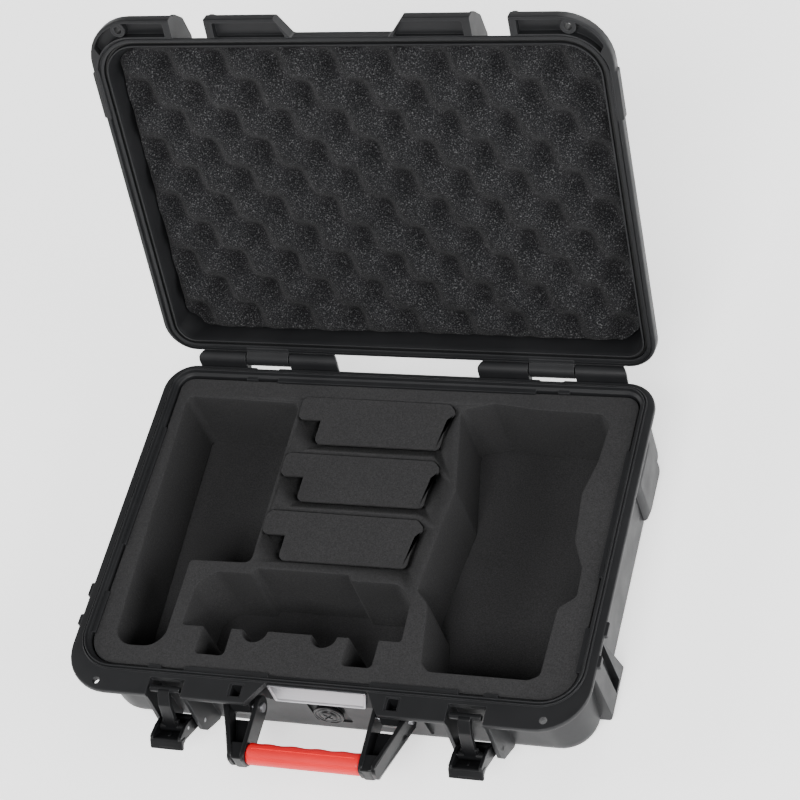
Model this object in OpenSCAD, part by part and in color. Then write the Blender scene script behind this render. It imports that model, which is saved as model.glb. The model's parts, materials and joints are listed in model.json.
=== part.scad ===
// Hard-shell carrying case for a folding camera drone.
// Frame: origin at the bottom centre of the base, X to the right, Y towards the hinges, Z up.
// The lid is drawn closed by its module and then swung open about the hinge line.

/* [Case] */
// Width over the rim flange
case_w = 368; // [364:1:372]
// Depth over the rim flange, front to back
case_d = 270; // [268:1:272]
// Height of the base, from the ground to the parting plane
base_h = 72; // [70:1:76]
// Height of the lid above the parting plane
lid_h = 44; // [42:1:48]
// Angle of the open lid, from closed
lid_open = 108; // [60:1:110]

/* [Rim] */
// Thickness of the rim flange of the base
flange_t = 4.5; // [4:0.1:5]
// Gap between the two rims when the lid is closed
rim_gap = 0.3; // [0.2:0.1:0.5]

/* [Hinges] */
// Radius of the hinge knuckles
knuckle_r = 5.5; // [5:0.1:5.8]
// Radius of the steel hinge pins
hinge_pin_r = 2; // [1.5:0.1:2.5]

/* [Latches] */
// Distance of each latch from the middle of the case
latch_x = 105.7; // [104:0.1:107]
// Width of the gap that each latch sits in
latch_gap = 25.6; // [25:0.1:27]
// Angle that a lever swings through, from open to closed
latch_swing = 55; // [55:1:55]
// Radius of the cross bar of the draw link
bar_r = 2.3; // [2:0.1:2.4]

/* [Handle] */
// Length of the soft grip
grip_len = 80; // [76:1:84]
// Distance from the handle pivot to the middle of the grip
handle_reach = 34.5; // [34:0.1:36]

/* [Foam] */
// Depth of the foam surface below the parting plane
foam_drop = 3; // [2:0.5:6]
// Thickness of the flat foam sheet on the floor
pad_t = 8.3; // [6:0.1:9]

/* [Hidden] */
$fn = 64;
// Thickness of a slice that serves as a section of a tapering solid
eps = 0.01;
// Clearance between a pin and its bore, on the radius
fit = 0.05;

// Plan of the cavity at the rim; every rim line is this outline grown by d
cav_x = case_w / 2 - 11;
cav_front = -113;
cav_back = 126;
cav_r_front = 23;
cav_r_back = 11;

// Heights, all above the ground
rim_z = base_h;
floor_z = 4.5;
foam_top = rim_z - foam_drop;
foam_low = floor_z + pad_t + 0.6;
controller_x = -31;
lid_z = rim_z + rim_gap;
lid_top = rim_z + lid_h;
lid_flange_h = 8;

// Flange outline
flange_x = case_w / 2;
flange_y = case_d / 2;
flange_r_front = 34;
flange_r_back = 22;

// Hinge line and the knuckle ends, as distances from the middle of the case
hinge_y = flange_y + 6.5;
hinge_z = rim_z + 2.1;
knuckle_in = [53, 90];
knuckle_mid = [90.6, 123.4];
knuckle_out = [124, 161];
knuckle_foot_y = 128;

// Latch pivots, in the plane of a closed latch
lever_y = -129.5;
lever_z = rim_z - 40;
link_dy = 2;
link_dz = 17;
bar_y = -119.6;
bar_z = rim_z + 6;
link_tilt = 11;
fin_t = 3;
slot_back = -121.5;
catch_y = -120.6;
catch_z = rim_z + 3.1;
latch_pin_r = 1.5;
link_pin_r = 1.2;

// Half width of a lever, thickness of its side walls, and the two bends of the draw link's stem
lever_half = 11.4;
lever_wall = 2.2;
stem_half = 4.6;
stem_low = [-126.2, rim_z - 2];
stem_high = [-122.6, rim_z + 6.4];

// Handle pivot and arms
pivot_y = -129;
pivot_z = rim_z - 15;
arm_in = 40;
arm_out = 66;
arm_wall = 3;
lug_x = [46, 60];
handle_pin_r = 2;
core_r = 4;

// Slots through the base flange: above each handle lug and in front of each lid knuckle
lug_slot_x = 55;
lug_slot_w = 7.8;
knuckle_slot_x = 107;
knuckle_slot_w = 18;

// Padlock holes
lock_x = 157.4;
lock_y = -127.6;
lock_r = 2.6;

// Front panel, nameplate and valve
panel_y = -120;
plate_y = -118.95;
plate_tilt = 13.7;
plate_t = 0.9;
valve_z = rim_z - 33;
valve_floor = panel_y + 3;
valve_stem_r = 6;

// ---------------------------------------------------------------- outlines

// A rectangle with its own radius at the front and the back corners
module slab2d(half_x, y_front, y_back, r_front, r_back) {
    front = half_x - r_front;
    back = half_x - r_back;
    polygon([
        [-front, y_front], [front, y_front], [half_x, y_front + r_front], [half_x, y_back - r_back],
        [back, y_back], [-back, y_back], [-half_x, y_back - r_back], [-half_x, y_front + r_front]
    ]);
    for (side = [-1, 1]) {
        translate([side * front, y_front + r_front]) circle(r_front);
        translate([side * back, y_back - r_back]) circle(r_back);
    }
}

// The cavity outline grown by d
module rim2d(d) {
    slab2d(cav_x + d, cav_front - d, cav_back + d, max(cav_r_front + d, 4), max(cav_r_back + d, 4));
}

module flange2d() {
    slab2d(flange_x, -flange_y, flange_y, flange_r_front, flange_r_back);
}

// A ring between two rim lines, from z0 to z1
module rim_ring(d_out, d_in, z0, z1) {
    translate([0, 0, z0])
        linear_extrude(z1 - z0)
            difference() {
                rim2d(d_out);
                rim2d(d_in);
            }
}

// A thin slice of the cavity outline, used as a section of a tapering solid
module slice(d, z) {
    translate([0, 0, z]) linear_extrude(eps) rim2d(d, $fn = 32);
}

// Extrudes a profile drawn in Y and Z from x0 to x1
module along_x(x0, x1) {
    translate([x0, 0, 0]) rotate([90, 0, 90]) linear_extrude(x1 - x0) children();
}

// Mirrors a left-hand shape to the right as well
module both_sides() {
    for (side = [0, 1]) mirror([side, 0, 0]) children();
}

// A cylinder along X
module rod(x0, x1, y, z, r) {
    translate([x0, y, z]) rotate([0, 90, 0]) cylinder(r = r, h = x1 - x0);
}

// A box given by its low and high corners
module block(lo, hi) {
    translate(lo) cube(hi - lo);
}

// ---------------------------------------------------------------- base shell

module base_outer() {
    hull() {
        slice(4, rim_z - eps);
        slice(1.5, 14);
        slice(-0.3, 7);
        slice(-4, 2);
        slice(-10, 0);
    }
}

module base_cavity() {
    hull() {
        slice(0, rim_z + 2);
        slice(-2, 17);
        slice(-9, floor_z);
    }
}

// Plan of the base flange: front notch, latch slots, padlock holes and core-out slots
module base_flange2d() {
    difference() {
        flange2d();
        rim2d(2);
        polygon([[-36, -118], [36, -118], [47, -136], [-47, -136]]);
        for (side = [-1, 1]) {
            translate([side * latch_x - latch_gap / 2, -136]) square([latch_gap, slot_back + 136]);
            translate([side * lock_x, lock_y]) circle(lock_r);
            translate([side * lug_slot_x - lug_slot_w / 2, -130]) square([lug_slot_w, 8]);
        }
        for (side = [-1, 1])
            translate([side * knuckle_slot_x - knuckle_slot_w / 2, flange_y - 1.4]) square([knuckle_slot_w, 4]);
    }
}

// Side fins of a latch bay, with a bored seat for the lever pin
module latch_fins() {
    for (x = [latch_x - latch_gap / 2 - fin_t, latch_x + latch_gap / 2])
        along_x(x, x + fin_t)
            offset(2)
                polygon([
                    [-116, rim_z - 5], [-131.5, rim_z - 5], [-131.5, rim_z - 14], [lever_y - 2.8, lever_z - 1],
                    [lever_y - 1, lever_z - 4.5], [-116, rim_z - 62]
                ]);
}

// Lugs that hang under the flange and carry one handle arm
module handle_lug() {
    along_x(lug_x[0], lug_x[1]) {
        translate([pivot_y, pivot_z]) circle(5);
        polygon([
            [pivot_y - 5, pivot_z], [-132, rim_z - 4], [-116, rim_z - 4], [-116, pivot_z - 3],
            [pivot_y + 1, pivot_z - 4.9]
        ]);
    }
}

// Outer base knuckles with their webs down to the wall
module base_knuckle(x0, x1) {
    along_x(x0, x1) {
        translate([hinge_y, hinge_z]) circle(knuckle_r);
        polygon([
            [knuckle_foot_y, rim_z - 18], [knuckle_foot_y + 6, rim_z - 15], [hinge_y + 4.6, hinge_z - 3],
            [hinge_y - 4.6, hinge_z - 3], [knuckle_foot_y, rim_z - 1]
        ]);
    }
}

// Slanted cuts that trim both ends of a hinge
module hinge_end_cuts() {
    for (end = [[knuckle_in[0], 1], [knuckle_out[1], -1]])
        translate([end[0], hinge_y - 3, rim_z - 20])
            linear_extrude(40)
                polygon([[-end[1], 0], [7 * end[1], 11], [-end[1], 11]]);
}

// Vertical strap anchor on the side wall near the front corner
module strap_anchor() {
    difference() {
        translate([0, -50, 0])
            rotate([90, 0, 0])
                linear_extrude(38)
                    polygon([
                        [170, rim_z - 3], [178.5, rim_z - 3], [179, rim_z - 12],
                        [182, 8], [180, 4], [170, 4]
                    ]);
        translate([175.6, -72, 12]) cube([10, 10, 50]);
        translate([170, -95, -1]) rotate([0, 0, 30]) cube([20, 8, rim_z - 6]);
    }
}

// Raised pad on the side wall
module side_pad() {
    translate([0, 104, 0])
        rotate([90, 0, 0])
            linear_extrude(42)
                polygon([[170, rim_z - 14], [177, rim_z - 16], [180, rim_z - 20], [178, 14], [170, 10]]);
}

// Thick centre panel of the front wall: wedge for the nameplate, flat for the valve
module front_panel() {
    along_x(-36, 36)
        polygon([
            [-114, rim_z - 1], [-118.6, rim_z - 1], [-122.2, rim_z - 15.8],
            [panel_y, rim_z - 18], [-118, 20], [-114, 12]
        ]);
    along_x(-66, 66)
        polygon([[-114, rim_z - 4], [-118, rim_z - 4], [panel_y, rim_z - 18], [-118, 20], [-114, 12]]);
}

module valve_recess() {
    block([-13, -130, valve_z - 12.5], [13, valve_floor, valve_z + 12.5]);
    translate([0, -130, valve_z]) rotate([-90, 0, 0]) cylinder(r = valve_stem_r + fit, h = 30);
}

// Small strap tabs on the side of the flange
module flange_tabs() {
    for (y = [-64, -86])
        block([flange_x - 2, y, rim_z - flange_t], [flange_x + 2, y + 12, rim_z - 0.6]);
}

module base_shell() {
    color("#1b1c1e")
    difference() {
        union() {
            base_outer();
            translate([0, 0, rim_z - flange_t]) linear_extrude(flange_t) base_flange2d();
            rim_ring(5.5, -1, rim_z - 2, rim_z + 1.2);
            rim_ring(3.9, 2.6, rim_z, rim_z + 3.2);
            front_panel();
            both_sides() {
                latch_fins();
                handle_lug();
                strap_anchor();
                side_pad();
                flange_tabs();
                difference() {
                    union() {
                        base_knuckle(knuckle_in[0], knuckle_in[1]);
                        base_knuckle(knuckle_out[0], knuckle_out[1]);
                    }
                    hinge_end_cuts();
                }
            }
        }
        base_cavity();
        rim_ring(4.75, 4.35, rim_z + 0.6, rim_z + 2);
        valve_recess();
        both_sides() {
            rod(0, 190, hinge_y, hinge_z, hinge_pin_r + fit);
            rod(80, 130, lever_y, lever_z, latch_pin_r + fit);
            rod(20, 80, pivot_y, pivot_z, handle_pin_r + fit);
            translate([lock_x, lock_y, rim_z - 10]) cylinder(r = lock_r, h = 20);
        }
    }
}

// ---------------------------------------------------------------- foam in the base

// Pocket for the folded drone: a body with bulges where the arms fold in
module drone_pocket2d() {
    offset(2) offset(-4) offset(2)
        polygon([
            [46, 108], [68, 114.5], [104, 111], [146, 110], [154, 103], [152, 72],
            [146, 45], [149, 8], [158, -12], [159, -34], [148, -44], [147, -94],
            [140, -98], [72, -98], [66, -92], [60, -48], [50, -38], [54, 10], [58, 42]
        ]);
}

// Pocket for one battery: a stepped end and a finger notch
module battery_pocket2d() {
    offset(1.5) offset(-3) offset(1.5)
        polygon([
            [-71, 20], [-71, 36], [37, 35], [42, 30], [37, 24], [37, 0], [-53, 0], [-53, 20]
        ]);
}

// Pocket for the charger and its cable, one L-shaped bay
module charger_bay2d() {
    offset(3) offset(-6) offset(3)
        polygon([
            [-164, 109], [-76, 107], [-75, -26], [-120, -27], [-120, -96], [-156, -97], [-160, 0]
        ]);
}

// Pocket for the controller, with finger slots along its front
module controller_pocket2d() {
    offset(2) offset(-2)
        union() {
            hull() {
                for (side = [-1, 1]) {
                    translate([controller_x + side * 65, -50]) circle(15);
                    translate([controller_x + side * 74, -73]) circle(5);
                }
            }
            for (side = [-1, 1]) {
                translate([controller_x + side * 53 - 10.5, -99]) square([21, 25]);
                translate([controller_x + side * 25, -78]) circle(9);
            }
            translate([controller_x - 40, -36]) square([72, 6]);
        }
}

module pockets2d() {
    drone_pocket2d();
    for (y = [-22, 26, 74]) translate([0, y]) battery_pocket2d();
    charger_bay2d();
    controller_pocket2d();
}

module base_foam() {
    color("#3b3a39")
    difference() {
        hull() {
            slice(-0.9, foam_top - eps);
            slice(-2.9, 17);
            slice(-4, foam_low);
        }
        translate([0, 0, foam_low - 1]) linear_extrude(foam_top) pockets2d();
        block([-15, -130, valve_z - 15], [15, -105, foam_top + 1]);
    }
}

module base_foam_pad() {
    color("#2f2e2e")
    hull() {
        slice(-5, foam_low - 0.4);
        slice(-9.6, floor_z + 0.2);
    }
}

// ---------------------------------------------------------------- front fittings

// Metal plate with a raised border, lying on the wedge under the rim
module nameplate() {
    color("#b9b9bb")
    translate([0, plate_y, rim_z - 1])
        rotate([-plate_tilt, 0, 0])
            rotate([90, 0, 0]) {
                linear_extrude(plate_t) plate2d();
                translate([0, 0, plate_t])
                    linear_extrude(0.5)
                        difference() {
                            plate2d();
                            offset(-1.6) plate2d();
                        }
            }
}

module plate2d() {
    polygon([[-35.5, 0], [35.5, 0], [32, -14.4], [-32, -14.4]]);
}

// Turned parts of the purge valve share an axis along Y
module on_valve_axis(y) {
    translate([0, y, valve_z]) rotate([-90, 0, 0]) children();
}

module valve_body() {
    color("#222325")
    on_valve_axis(valve_floor - 1.4)
        difference() {
            union() {
                cylinder(r = 9.5, h = 1.3);
                cylinder(r = valve_stem_r, h = 12);
            }
            translate([0, 0, -1]) cylinder(r = 2.2, h = 20);
        }
}

module valve_seal() {
    color("#111111")
    on_valve_axis(valve_floor - 2.5)
        rotate_extrude() translate([7.2, 0]) circle(0.9);
}

module valve_cap() {
    color("#2a2b2d")
    on_valve_axis(panel_y - 2.2)
        difference() {
            union() {
                cylinder(r = 10.4, h = 1.6);
                translate([0, 0, -0.7]) cylinder(r = 6.2, h = 1);
                cylinder(r = 2.1, h = 6);
            }
            translate([0, 0, -0.2]) difference() {
                cylinder(r = 9.2, h = 0.6);
                translate([0, 0, -1]) cylinder(r = 8, h = 3);
            }
            for (a = [0, 90]) rotate(a) translate([-4.5, -0.8, -1]) cube([9, 1.6, 1]);
            for (a = [45:90:315]) rotate(a) translate([7.2, -1, -1]) cube([2, 2, 3]);
        }
}

module valve_nut() {
    color("#2a2b2d")
    on_valve_axis(cav_front + 1.9)
        difference() {
            cylinder(r = 10, h = 4, $fn = 6);
            translate([0, 0, -1]) cylinder(r = valve_stem_r + fit, h = 8);
        }
}

// ---------------------------------------------------------------- pins

module hinge_pin_right() {
    color("#8f9194") rod(knuckle_in[0] + 2.5, knuckle_out[1] - 2.5, hinge_y, hinge_z, hinge_pin_r);
}

module hinge_pin_left() {
    mirror([1, 0, 0]) hinge_pin_right();
}

module latch_pin_right() {
    color("#8f9194")
        rod(latch_x - latch_gap / 2 - fin_t, latch_x + latch_gap / 2 + fin_t, lever_y, lever_z, latch_pin_r);
}

module latch_pin_left() {
    mirror([1, 0, 0]) latch_pin_right();
}

module handle_pin_right() {
    color("#8f9194") {
        rod(arm_in - 0.2, arm_out + 0.6, pivot_y, pivot_z, handle_pin_r);
        rod(arm_in - 1.4, arm_in - 0.2, pivot_y, pivot_z, 3.2);
    }
}

module handle_pin_left() {
    mirror([1, 0, 0]) handle_pin_right();
}

// ---------------------------------------------------------------- lid

// Swings a part of the closed lid to the open rest pose
module open_lid() {
    translate([0, hinge_y, hinge_z])
        rotate([-lid_open, 0, 0])
            translate([0, -hinge_y, -hinge_z])
                children();
}

// A section of the lid at height z: the cavity outline moved by side and back, with its own front edge
module lid_slice(z, side, front, back) {
    translate([0, 0, z])
        linear_extrude(eps)
            slab2d(cav_x + side, front, cav_back + back, 20, 12, $fn = 32);
}

module lid_outer() {
    hull() {
        lid_slice(lid_z + 2, 4, cav_front - 4, 4);
        lid_slice(rim_z + 33, 1.5, -101, 2);
        lid_slice(rim_z + 38, 0, -96, 0.5);
        lid_slice(rim_z + 42, -3, -91, -2.5);
        lid_slice(lid_top - eps, -9, -84, -8);
    }
}

module lid_cavity() {
    hull() {
        lid_slice(lid_z - 1, 0, cav_front, 0);
        lid_slice(rim_z + 31, -2, -98.5, -1.5);
        lid_slice(lid_top - 3.2, -9, -86, -8);
    }
}

// Plan of the lid flange at the front blocks: gaps at the latches and in the middle
module lid_flange2d() {
    difference() {
        flange2d();
        rim2d(2);
        polygon([[-33, -121], [37, -121], [48, -136], [-43, -136]]);
        for (side = [-1, 1])
            translate([side * latch_x - latch_gap / 2, -136]) square([latch_gap, catch_y + 136]);
    }
}

// Hollow of the flange, open towards the base
module lid_flange_hollow2d() {
    difference() {
        offset(-2.4)
            difference() {
                lid_flange2d();
                translate([-200, -118.6]) square([400, 260]);
            }
        for (side = [-1, 1]) translate([side * lock_x, lock_y]) circle(5.4);
    }
}

// Guard ears beside each latch gap
module lid_ears() {
    for (x = [latch_x - latch_gap / 2 - fin_t, latch_x + latch_gap / 2])
        along_x(x, x + fin_t)
            hull() {
                translate([-133.4, lid_z]) square([12, 4]);
                translate([-127, rim_z + 14.5]) circle(6.4);
                translate([-108, rim_z + 26]) circle(2.5);
                translate([-108, lid_z + 2]) square([2, 4]);
            }
}

// Cut that leaves the catch ledge of a latch: a chamfered rim with the wall above it set back
module catch_cut() {
    along_x(latch_x - latch_gap / 2, latch_x + latch_gap / 2)
        polygon([
            [-136, rim_z - 1], [catch_y, rim_z - 1], [catch_y, catch_z - 1], [catch_y + 1, catch_z],
            [-116.9, catch_z], [-116.9, rim_z + 9], [-136, rim_z + 9]
        ]);
}

module lid_knuckle() {
    along_x(knuckle_mid[0], knuckle_mid[1]) {
        translate([hinge_y, hinge_z]) circle(knuckle_r);
        polygon([
            [hinge_y, hinge_z + knuckle_r], [knuckle_foot_y, rim_z + 14], [knuckle_foot_y, lid_z + 0.6],
            [hinge_y - knuckle_r, lid_z + 0.6], [hinge_y - knuckle_r, hinge_z]
        ]);
    }
}

// Long shallow panels pressed into the top of the lid
module lid_panels() {
    for (y = [-52, 18, 88])
        translate([0, y, lid_top - 1.2])
            linear_extrude(3)
                offset(5) square([270, 34], center = true);
}

module lid_shell() {
    color("#1b1c1e")
    open_lid()
        difference() {
            union() {
                lid_outer();
                translate([0, 0, lid_z]) linear_extrude(lid_flange_h) lid_flange2d();
                rim_ring(8, 0, lid_z, lid_z + 3.1);
                both_sides() {
                    lid_ears();
                    lid_knuckle();
                    block([flange_x - 3, -96, lid_z], [flange_x + 2.5, -58, lid_z + 7]);
                }
            }
            lid_cavity();
            lid_panels();
            translate([0, 0, lid_z - 1]) linear_extrude(6.6) lid_flange_hollow2d();
            rim_ring(8.2, 7.2, lid_z - 1, lid_z + 2);
            rim_ring(7.21, 1, lid_z - 1, rim_z + 1.6);
            rim_ring(4.2, 2.2, lid_z, rim_z + 7);
            rim_ring(1, -1, lid_z - 1, rim_z + 5);
            both_sides() {
                catch_cut();
                rod(0, 190, hinge_y, hinge_z, hinge_pin_r + fit);
                translate([lock_x, lock_y, lid_z - 5]) cylinder(r = lock_r, h = 20);
            }
        }
}

module lid_gasket() {
    color("#101010") open_lid() rim_ring(4.1, 2.3, rim_z + 3.5, rim_z + 6.9);
}

// Plain body of the convoluted foam, from its peaks to the lid top
module lid_foam() {
    color("#2e2d2f")
    open_lid()
        hull() {
            lid_slice(rim_z + 8, -1.2, cav_front + 5, -1.2);
            lid_slice(rim_z + 31, -2.4, -98, -1.9);
            lid_slice(lid_top - 3.8, -9.4, -85.6, -8.4);
        }
}

// ---------------------------------------------------------------- latches

// Swings a part of a closed latch lever to its open rest pose
module open_latch() {
    translate([0, lever_y, lever_z])
        rotate([latch_swing, 0, 0])
            translate([0, -lever_y, -lever_z])
                children();
}

// Side profile of the lever walls, closed, round the pivot
module lever_side2d() {
    hull() {
        translate([lever_y, lever_z]) circle(4.4);
        translate([lever_y + link_dy, lever_z + link_dz]) circle(4);
        translate([lever_y - 3.8, lever_z + 1]) square([2, 27]);
    }
}

// Outer plate and finger lip of the lever, in one profile
module lever_plate2d() {
    translate([lever_y - 3.8, lever_z - 1]) square([2.2, 29]);
    hull() {
        translate([lever_y + 2.6, lever_z + 28.4]) circle(1.6);
        translate([lever_y - 7.4, lever_z + 28.4]) circle(1.6);
    }
    hull() {
        translate([lever_y - 7.4, lever_z + 28.4]) circle(1.6);
        translate([lever_y - 2.8, lever_z + 24]) circle(1);
        translate([lever_y - 2.8, lever_z + 28]) circle(1);
    }
}

module latch_lever_right() {
    color("#202124")
    open_latch()
        difference() {
            union() {
                for (x = [latch_x - lever_half, latch_x + lever_half - lever_wall])
                    along_x(x, x + lever_wall) lever_side2d();
                along_x(latch_x - lever_half, latch_x + lever_half) lever_plate2d();
                for (x = [-12.5, 9.2]) rod(latch_x + x, latch_x + x + 3.3, lever_y, lever_z, 3.6);
                rod(latch_x - 9.4, latch_x + 9.4, lever_y, lever_z, 3);
            }
            rod(latch_x - 20, latch_x + 20, lever_y, lever_z, latch_pin_r + fit);
            rod(latch_x - 20, latch_x + 20, lever_y + link_dy, lever_z + link_dz, link_pin_r + fit);
            // notch in the lip that the stem of the draw link folds into
            block([latch_x - 5.8, lever_y - 0.9, lever_z + 23], [latch_x + 5.8, lever_y + 8, lever_z + 34]);
        }
}

module latch_lever_left() {
    mirror([1, 0, 0]) latch_lever_right();
}

// Swings a part of the closed draw link to rest: it rides the lever and tilts on its own pin
module open_link() {
    open_latch()
        translate([0, lever_y + link_dy, lever_z + link_dz])
            rotate([-latch_swing - link_tilt, 0, 0])
                translate([0, -lever_y - link_dy, -lever_z - link_dz])
                    children();
}

module latch_link_right() {
    color("#26272a")
    open_link()
        difference() {
            union() {
                along_x(latch_x - stem_half, latch_x + stem_half) {
                    translate([lever_y + link_dy, lever_z + link_dz]) circle(2.9);
                    hull() {
                        translate([lever_y + link_dy, lever_z + link_dz]) circle(1.9);
                        translate(stem_low) circle(1.7);
                    }
                    hull() {
                        translate(stem_low) circle(1.7);
                        translate(stem_high) circle(1.5);
                    }
                    hull() {
                        translate(stem_high) circle(1.5);
                        translate([bar_y, bar_z]) circle(bar_r);
                    }
                }
                rod(latch_x - 11, latch_x + 11, bar_y, bar_z, bar_r);
            }
            rod(latch_x - 20, latch_x + 20, lever_y + link_dy, lever_z + link_dz, link_pin_r + fit);
        }
}

module latch_link_left() {
    mirror([1, 0, 0]) latch_link_right();
}

module link_pin_right() {
    color("#8f9194")
        open_latch()
            rod(latch_x - lever_half, latch_x + lever_half, lever_y + link_dy, lever_z + link_dz, link_pin_r);
}

module link_pin_left() {
    mirror([1, 0, 0]) link_pin_right();
}

// ---------------------------------------------------------------- handle

// Plan of one arm, from the pivot to the end cap
module arm2d(inset) {
    offset(-inset)
        polygon([
            [arm_in, pivot_y + 9], [arm_out, pivot_y + 9], [arm_out, pivot_y - 6],
            [grip_len / 2 + 13, pivot_y - handle_reach + 6], [grip_len / 2 + 13, pivot_y - handle_reach],
            [arm_in, pivot_y - handle_reach]
        ]);
}

// Side profile of an arm: round at the pivot, slimmer towards the grip
module arm_side2d() {
    hull() {
        translate([pivot_y, pivot_z]) circle(8);
        translate([pivot_y - handle_reach, pivot_z - 1]) circle(6.9);
    }
}

module arm_right() {
    difference() {
        intersection() {
            translate([0, 0, pivot_z - 12]) linear_extrude(30) arm2d(0);
            along_x(arm_in, arm_out) arm_side2d();
        }
        translate([0, 0, pivot_z - 5.6]) linear_extrude(20) arm_channel2d();
        block([lug_x[0] - 1, pivot_y - 7, pivot_z - 10], [lug_x[1] + 1, pivot_y + 12, pivot_z + 12]);
        rod(arm_in - 5, arm_out + 5, pivot_y, pivot_z, handle_pin_r + fit);
    }
}

// Open channel of an arm: it stops at the solid end cap
module arm_channel2d() {
    difference() {
        arm2d(arm_wall);
        translate([0, pivot_y - handle_reach - 10]) square([100, 17]);
    }
    translate([arm_in + arm_wall, pivot_y - 8]) square([arm_out - arm_in - 2 * arm_wall, 20]);
}

module handle_frame() {
    color("#1d1e20") {
        both_sides() arm_right();
        rod(-arm_in - 1, arm_in + 1, pivot_y - handle_reach, pivot_z - 1, core_r);
    }
}

// Soft sleeve over the core rod, with shallow finger waves along its back
module handle_grip() {
    color("#e23a3c")
    difference() {
        rod(-grip_len / 2 + 0.3, grip_len / 2 - 0.3, pivot_y - handle_reach, pivot_z - 1, 7.1);
        rod(-grip_len, grip_len, pivot_y - handle_reach, pivot_z - 1, core_r + 0.02);
        for (x = [-26.5:17.7:27])
            translate([x, pivot_y - handle_reach + 18.4, pivot_z - 1]) rotate([0, 90, 90]) sphere(12);
    }
}

// ---------------------------------------------------------------- drawing

base_shell();
base_foam();
base_foam_pad();
nameplate();
valve_body();
valve_cap();
valve_seal();
valve_nut();
hinge_pin_left();
hinge_pin_right();
latch_pin_left();
latch_pin_right();
handle_pin_left();
handle_pin_right();
lid_shell();
lid_gasket();
lid_foam();
latch_lever_left();
latch_lever_right();
latch_link_left();
latch_link_right();
link_pin_left();
link_pin_right();
handle_frame();
handle_grip();
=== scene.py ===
"""Looks of the drone carrying case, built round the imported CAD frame.

Sizes are in millimetres until a mesh is made.
"""
import json
from math import atan2, copysign, cos, hypot, pi, radians, sin, tan

import bmesh
import bpy
from mathutils import Matrix, Vector, noise


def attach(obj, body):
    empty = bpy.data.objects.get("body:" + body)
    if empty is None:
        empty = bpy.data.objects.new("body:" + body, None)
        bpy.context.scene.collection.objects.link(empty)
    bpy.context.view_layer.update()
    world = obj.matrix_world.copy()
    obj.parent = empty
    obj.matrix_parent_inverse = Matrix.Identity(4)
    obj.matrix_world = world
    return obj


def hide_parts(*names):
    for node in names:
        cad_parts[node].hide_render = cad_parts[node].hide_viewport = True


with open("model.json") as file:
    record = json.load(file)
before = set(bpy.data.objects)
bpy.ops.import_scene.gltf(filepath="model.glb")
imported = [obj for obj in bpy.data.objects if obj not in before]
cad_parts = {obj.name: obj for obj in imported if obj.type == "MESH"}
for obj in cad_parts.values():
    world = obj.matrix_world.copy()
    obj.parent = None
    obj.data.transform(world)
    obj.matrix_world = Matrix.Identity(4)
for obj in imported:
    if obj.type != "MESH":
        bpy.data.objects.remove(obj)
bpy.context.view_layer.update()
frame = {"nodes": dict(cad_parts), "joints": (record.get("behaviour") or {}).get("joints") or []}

MM = 0.001

# ------------------------------------------------------------ driving sizes, as in the CAD

RIM = 72.0
CAV_X, CAV_FRONT, CAV_BACK = 173.0, -113.0, 126.0
CAV_R_FRONT, CAV_R_BACK = 23.0, 11.0
FLANGE_X, FLANGE_Y = 184.0, 135.0
FLANGE_R_FRONT, FLANGE_R_BACK = 34.0, 22.0
FLANGE_T = 4.5
LID_Z = RIM + 0.3
LID_TOP = RIM + 44.0
LATCH_X, LATCH_GAP, FIN_T = 105.7, 25.6, 3.0
LEVER_Y, LEVER_Z = -129.5, RIM - 40.0
PIVOT_Y, PIVOT_Z = -129.0, RIM - 15.0
HANDLE_REACH = 34.5
LOCK_X, LOCK_Y, LOCK_R = 157.4, -127.6, 2.6
KNUCKLE_R = 5.5
FOAM_TOP = RIM - 3.0
FOAM_LOW = 13.4
CORNER_STEPS = 10

joints = {j["name"]: j for j in frame["joints"]}


def pivot(name):
    """Where a joint turns, in millimetres."""
    return Vector(joints[name]["pos_m"]) / MM


def turn_x(point, degrees):
    """A turn about a line along X through point."""
    return Matrix.Translation(point) @ Matrix.Rotation(radians(degrees), 4, "X") @ Matrix.Translation(-point)


HINGE = pivot("lid_hinge")
LID_OPEN = turn_x(HINGE, -joints["lid_hinge"]["range_deg"][1])


def lever_open(side):
    joint = "lever_%s_pivot" % side
    return turn_x(pivot(joint), joints[joint]["range_deg"][1])


def link_open(side):
    """A closed link goes to rest by a turn with its lever and a turn back on its own pin."""
    joint = "link_%s_pivot" % side
    return turn_x(pivot(joint), -joints[joint]["range_deg"][1]) @ lever_open(side)


# ------------------------------------------------------------ outlines

def arc(cx, cy, r, start, end, steps):
    """Points on a circle from start to end degrees."""
    for i in range(steps + 1):
        a = radians(start + (end - start) * i / steps)
        yield (cx + r * cos(a), cy + r * sin(a))


def slab(half_x, front, back, r_front, r_back):
    """A rectangle with round corners, anticlockwise from the front right one."""
    pts = []
    pts += arc(half_x - r_front, front + r_front, r_front, -90, 0, CORNER_STEPS)
    pts += arc(half_x - r_back, back - r_back, r_back, 0, 90, CORNER_STEPS)
    pts += arc(-half_x + r_back, back - r_back, r_back, 90, 180, CORNER_STEPS)
    pts += arc(-half_x + r_front, front + r_front, r_front, 180, 270, CORNER_STEPS)
    return pts


def rim(d):
    """The cavity outline grown by d."""
    return slab(CAV_X + d, CAV_FRONT - d, CAV_BACK + d, max(CAV_R_FRONT + d, 4), max(CAV_R_BACK + d, 4))


def flange(inset):
    return slab(FLANGE_X - inset, -FLANGE_Y + inset, FLANGE_Y - inset, FLANGE_R_FRONT - inset, FLANGE_R_BACK - inset)


def lid_slab(side, front, back):
    return slab(CAV_X + side, front, CAV_BACK + back, 20, 12)


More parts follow.
